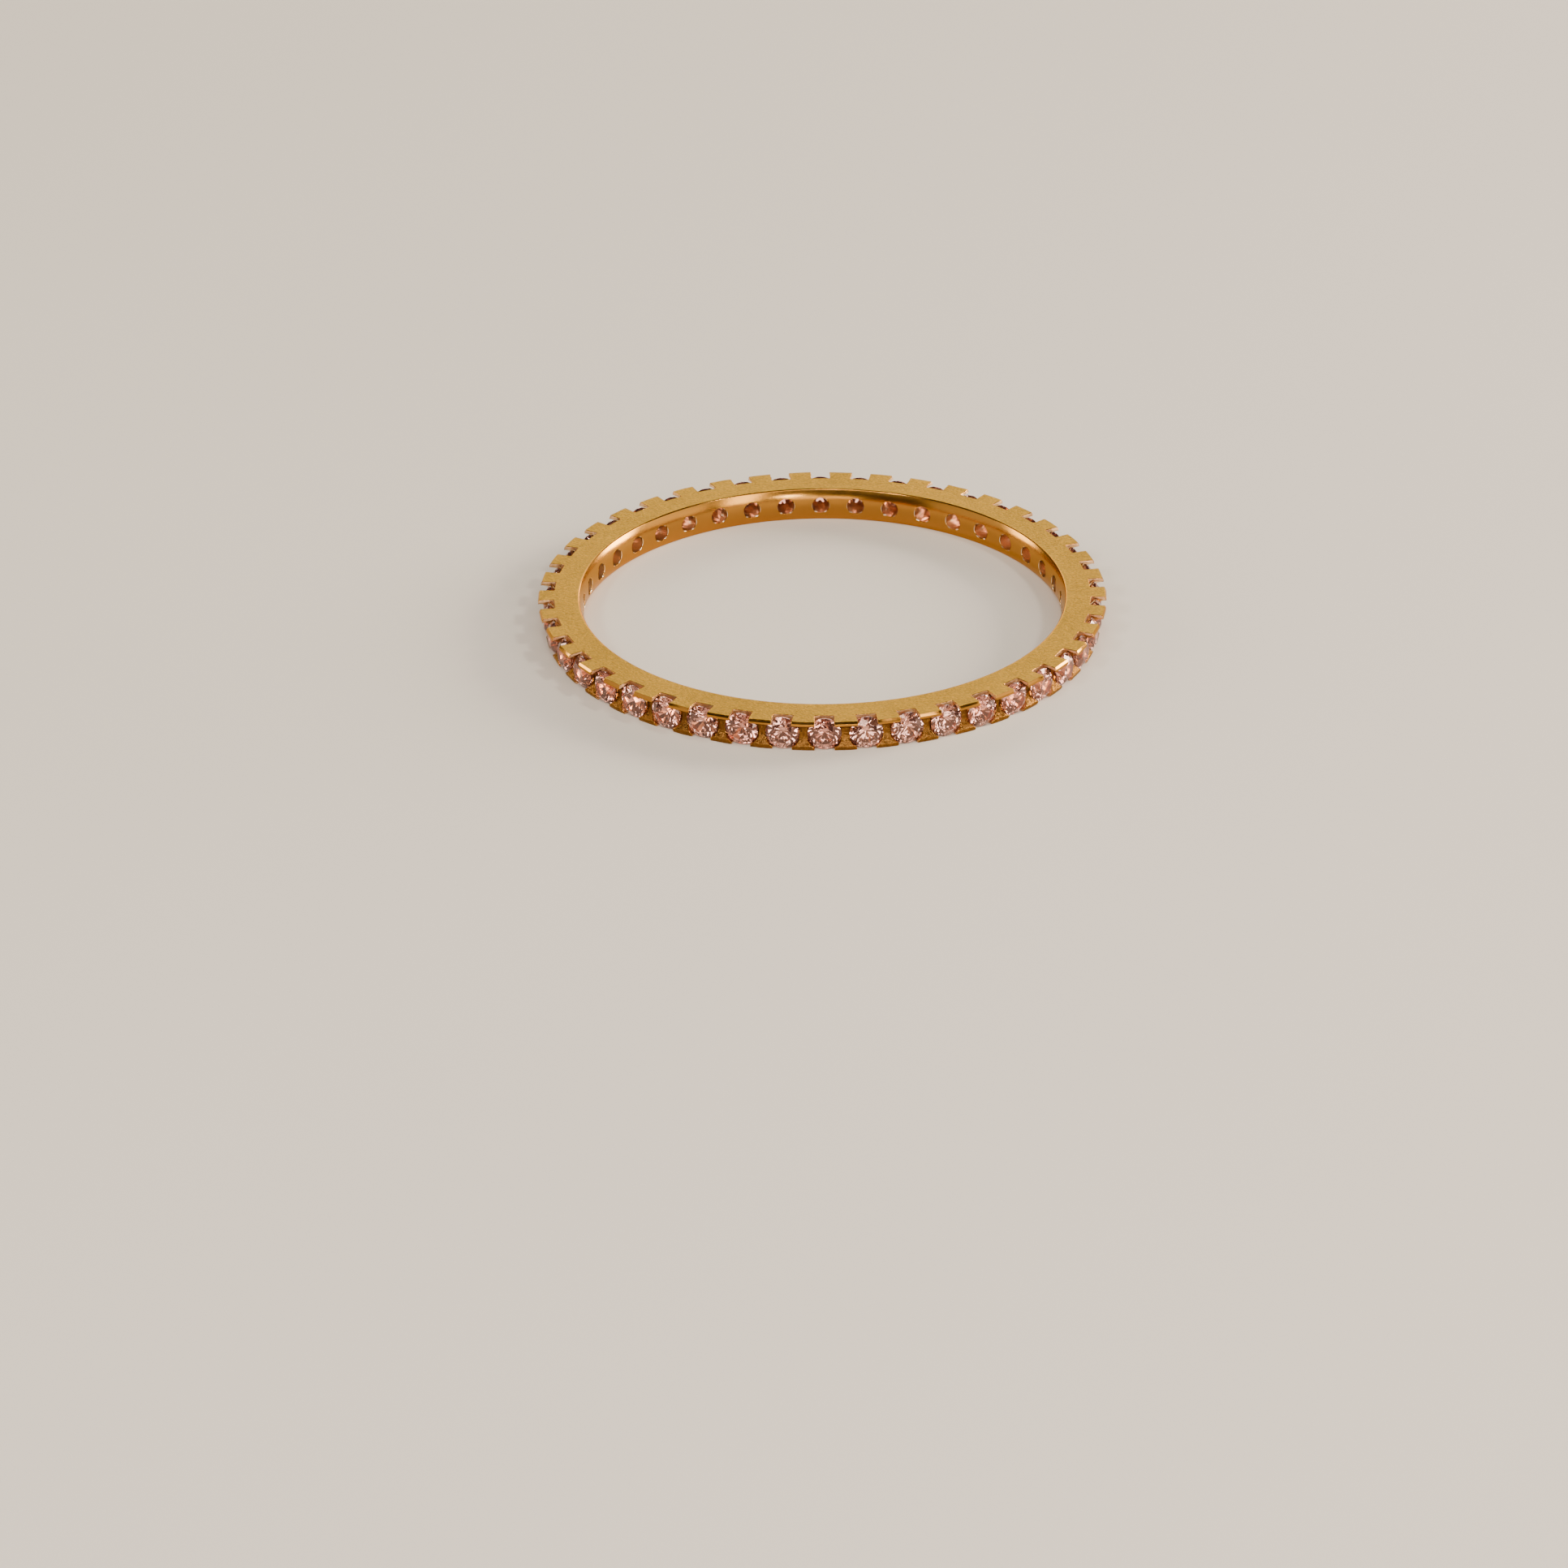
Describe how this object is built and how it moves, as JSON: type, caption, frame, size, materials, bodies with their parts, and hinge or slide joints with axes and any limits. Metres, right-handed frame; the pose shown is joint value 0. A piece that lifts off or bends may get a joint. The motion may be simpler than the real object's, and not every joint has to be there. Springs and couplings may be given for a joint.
{
  "type": "stackable ring",
  "caption": "Slim gold-coloured finger ring set all the way round with small round pale pink stones between notched pads.",
  "frame": {"origin": "centre of the lower flat side, on the surface that the ring lies on", "axes": "+Z along the ring's axis, up through the finger hole; -Y through the first stone"},
  "size_m": [0.0202, 0.0202, 0.0012],
  "materials": {
    "gold": "gold-coloured metal, fine satin on the flat faces and polished in the bore and on the pads",
    "pink_stone": "pale pink faceted stone, polished"
  },
  "bodies": {
    "root": {"band": "gold", "stone_01": "pink_stone", "stone_02": "pink_stone", "stone_03": "pink_stone", "stone_04": "pink_stone", "stone_05": "pink_stone", "stone_06": "pink_stone", "stone_07": "pink_stone", "stone_08": "pink_stone", "stone_09": "pink_stone", "stone_10": "pink_stone", "stone_11": "pink_stone", "stone_12": "pink_stone", "stone_13": "pink_stone", "stone_14": "pink_stone", "stone_15": "pink_stone", "stone_16": "pink_stone", "stone_17": "pink_stone", "stone_18": "pink_stone", "stone_19": "pink_stone", "stone_20": "pink_stone", "stone_21": "pink_stone", "stone_22": "pink_stone", "stone_23": "pink_stone", "stone_24": "pink_stone", "stone_25": "pink_stone", "stone_26": "pink_stone", "stone_27": "pink_stone", "stone_28": "pink_stone", "stone_29": "pink_stone", "stone_30": "pink_stone", "stone_31": "pink_stone", "stone_32": "pink_stone", "stone_33": "pink_stone", "stone_34": "pink_stone", "stone_35": "pink_stone", "stone_36": "pink_stone", "stone_37": "pink_stone", "stone_38": "pink_stone", "stone_39": "pink_stone", "stone_40": "pink_stone", "stone_41": "pink_stone", "stone_42": "pink_stone"}
  },
  "joints": []
}
